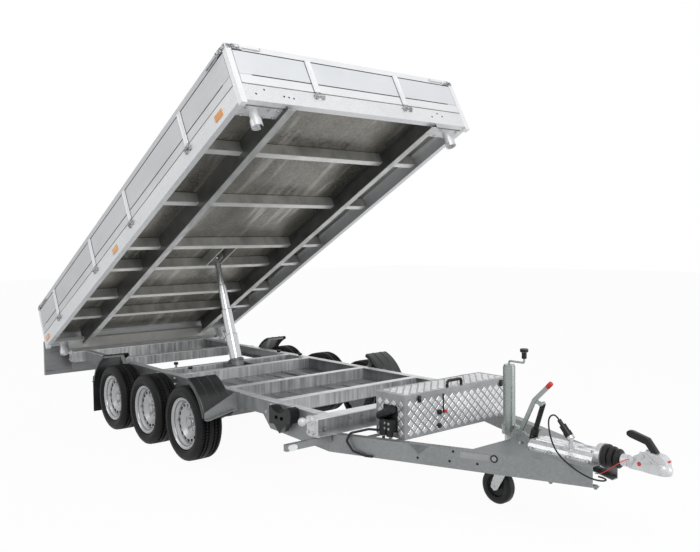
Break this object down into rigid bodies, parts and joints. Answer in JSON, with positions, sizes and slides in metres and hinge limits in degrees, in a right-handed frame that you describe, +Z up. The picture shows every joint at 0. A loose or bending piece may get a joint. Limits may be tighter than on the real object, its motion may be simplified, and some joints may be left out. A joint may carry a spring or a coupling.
{
  "type": "three-axle tipping trailer",
  "caption": "Flat-bed tipping trailer on a galvanised drawbar chassis, bed raised by a telescopic cylinder, boards hinged all round.",
  "frame": {"origin": "on the ground, under the middle of the overall length and width", "axes": "+X forwards to the coupling, +Y to the trailer's left, +Z up"},
  "size_m": [5.8747, 2.032, 2.7497],
  "materials": {
    "galvanised_steel": "hot-dip galvanised, spangled",
    "galvanised_bed": "bright galvanised sheet",
    "floor_sheet": "galvanised sheet, dull",
    "dark_sheet": "dull zinc",
    "zinc_plated": "bright zinc",
    "aluminium": "satin anodised",
    "checker_plate": "checker plate",
    "chrome_steel": "hard chrome",
    "silver_rim": "silver paint",
    "tyre_rubber": "matte",
    "black_rubber": "matte",
    "black_plastic": "moulded",
    "red_lens": "clear lens",
    "amber_lens": "prismatic reflector",
    "red_cord": "coated wire"
  },
  "bodies": {
    "chassis": {"side_rails": "galvanised_steel", "cross_members": "galvanised_steel", "ball_pivots": "zinc_plated", "drawbar_beams": "galvanised_steel", "nose_plate": "galvanised_steel", "axles": "galvanised_steel", "overrun_housing": "zinc_plated", "bellows": "black_rubber", "coupling_head": "zinc_plated", "brake_lever": "zinc_plated", "jack": "zinc_plated", "mudguards": "black_plastic", "mudguard_brackets": "galvanised_steel", "toolbox": "checker_plate", "pump_unit": "black_plastic", "wheel_chock": "black_plastic", "lamp_brackets": "galvanised_steel", "lamps": "red_lens", "under_tray": "dark_sheet", "cylinder_cradle": "dark_sheet", "bed_buffers": "black_rubber", "trailer_cable": "black_rubber", "trailer_plug": "black_plastic", "breakaway_cable": "red_cord"},
    "wheel_front_left": {"tyre_front_left": "tyre_rubber", "rim_front_left": "silver_rim"},
    "wheel_front_right": {"tyre_front_right": "tyre_rubber", "rim_front_right": "silver_rim"},
    "wheel_middle_left": {"tyre_middle_left": "tyre_rubber", "rim_middle_left": "silver_rim"},
    "wheel_middle_right": {"tyre_middle_right": "tyre_rubber", "rim_middle_right": "silver_rim"},
    "wheel_rear_left": {"tyre_rear_left": "tyre_rubber", "rim_rear_left": "silver_rim"},
    "wheel_rear_right": {"tyre_rear_right": "tyre_rubber", "rim_rear_right": "silver_rim"},
    "bed": {"bed_frame": "galvanised_bed", "bed_floor": "floor_sheet", "bed_sub_rails": "galvanised_bed", "bed_bearers": "galvanised_bed", "corner_posts": "aluminium", "ball_sockets": "zinc_plated", "cylinder_seat": "galvanised_bed", "side_reflectors": "amber_lens"},
    "left_board": {"left_board": "aluminium"},
    "right_board": {"right_board": "aluminium"},
    "front_board": {"front_board": "aluminium"},
    "tail_board": {"tail_board": "aluminium"},
    "cylinder_barrel": {"cylinder_barrel": "chrome_steel"},
    "cylinder_stage_1": {"cylinder_stage_1": "chrome_steel"},
    "cylinder_stage_2": {"cylinder_stage_2": "chrome_steel"},
    "cylinder_stage_3": {"cylinder_stage_3": "chrome_steel"},
    "cylinder_stage_4": {"cylinder_stage_4": "chrome_steel"},
    "toolbox_lid": {"toolbox_lid": "checker_plate"},
    "jack_fork": {"jack_fork": "zinc_plated"},
    "jockey_wheel": {"jockey_wheel": "black_rubber"}
  },
  "joints": [
    {"name": "wheel_front_left_spin", "type": "hinge", "parent": "chassis", "child": "wheel_front_left", "pos_m": [-0.185, 0.8245, 0.266], "axis": [0, 1, 0], "continuous": true},
    {"name": "wheel_front_right_spin", "type": "hinge", "parent": "chassis", "child": "wheel_front_right", "pos_m": [-0.185, -0.8245, 0.266], "axis": [0, 1, 0], "continuous": true},
    {"name": "wheel_middle_left_spin", "type": "hinge", "parent": "chassis", "child": "wheel_middle_left", "pos_m": [-0.799, 0.8245, 0.266], "axis": [0, 1, 0], "continuous": true},
    {"name": "wheel_middle_right_spin", "type": "hinge", "parent": "chassis", "child": "wheel_middle_right", "pos_m": [-0.799, -0.8245, 0.266], "axis": [0, 1, 0], "continuous": true},
    {"name": "wheel_rear_left_spin", "type": "hinge", "parent": "chassis", "child": "wheel_rear_left", "pos_m": [-1.413, 0.8245, 0.266], "axis": [0, 1, 0], "continuous": true},
    {"name": "wheel_rear_right_spin", "type": "hinge", "parent": "chassis", "child": "wheel_rear_right", "pos_m": [-1.413, -0.8245, 0.266], "axis": [0, 1, 0], "continuous": true},
    {"name": "bed_tip", "type": "hinge", "parent": "chassis", "child": "bed", "pos_m": [-2.653, 0, 0.506], "axis": [0, -1, 0], "range_deg": [-27.08, 0]},
    {"name": "tail_board_hinge", "type": "hinge", "parent": "bed", "child": "tail_board", "pos_m": [-2.80564, 0, 0.62001], "axis": [0, -1, 0], "range_deg": [-152.92, 10]},
    {"name": "left_board_hinge", "type": "hinge", "parent": "bed", "child": "left_board", "pos_m": [-1.01263, 1.008, 1.55922], "axis": [-0.8904, 0, -0.4552], "range_deg": [0, 180]},
    {"name": "right_board_hinge", "type": "hinge", "parent": "bed", "child": "right_board", "pos_m": [-1.01263, -1.008, 1.55922], "axis": [0.8904, 0, 0.4552], "range_deg": [0, 180]},
    {"name": "front_board_hinge", "type": "hinge", "parent": "bed", "child": "front_board", "pos_m": [0.77301, 0, 2.47219], "axis": [0, 1, 0], "range_deg": [0, 180]},
    {"name": "barrel_swing", "type": "hinge", "parent": "chassis", "child": "cylinder_barrel", "pos_m": [-0.913, 0, 0.45], "axis": [0, -1, 0], "range_deg": [-1.81, 0]},
    {"name": "stage_1_slide", "type": "slide", "parent": "cylinder_barrel", "child": "cylinder_stage_1", "axis": [-0.3314, 0, 0.9435], "range_m": [-0.1955, 0]},
    {"name": "stage_2_slide", "type": "slide", "parent": "cylinder_stage_1", "child": "cylinder_stage_2", "axis": [-0.3314, 0, 0.9435], "range_m": [-0.1955, 0]},
    {"name": "stage_3_slide", "type": "slide", "parent": "cylinder_stage_2", "child": "cylinder_stage_3", "axis": [-0.3314, 0, 0.9435], "range_m": [-0.1955, 0]},
    {"name": "stage_4_slide", "type": "slide", "parent": "cylinder_stage_3", "child": "cylinder_stage_4", "axis": [-0.3314, 0, 0.9435], "range_m": [-0.1955, 0]},
    {"name": "toolbox_lid_hinge", "type": "hinge", "parent": "chassis", "child": "toolbox_lid", "pos_m": [1.354, 0, 0.655], "axis": [0, -1, 0], "range_deg": [0, 85]},
    {"name": "jockey_swivel", "type": "hinge", "parent": "chassis", "child": "jack_fork", "pos_m": [1.931, 0.06, 0.3], "axis": [0, 0, 1], "continuous": true},
    {"name": "jockey_spin", "type": "hinge", "parent": "jack_fork", "child": "jockey_wheel", "pos_m": [1.851, 0.06, 0.105], "axis": [0, 1, 0], "continuous": true}
  ],
  "couplings": [
    {"joint": "barrel_swing", "follows": "bed_tip", "ratio": 0.06647},
    {"joint": "stage_1_slide", "follows": "bed_tip", "m_per_rad": 0.41321},
    {"joint": "stage_2_slide", "follows": "bed_tip", "m_per_rad": 0.41321},
    {"joint": "stage_3_slide", "follows": "bed_tip", "m_per_rad": 0.41321},
    {"joint": "stage_4_slide", "follows": "bed_tip", "m_per_rad": 0.41321}
  ]
}
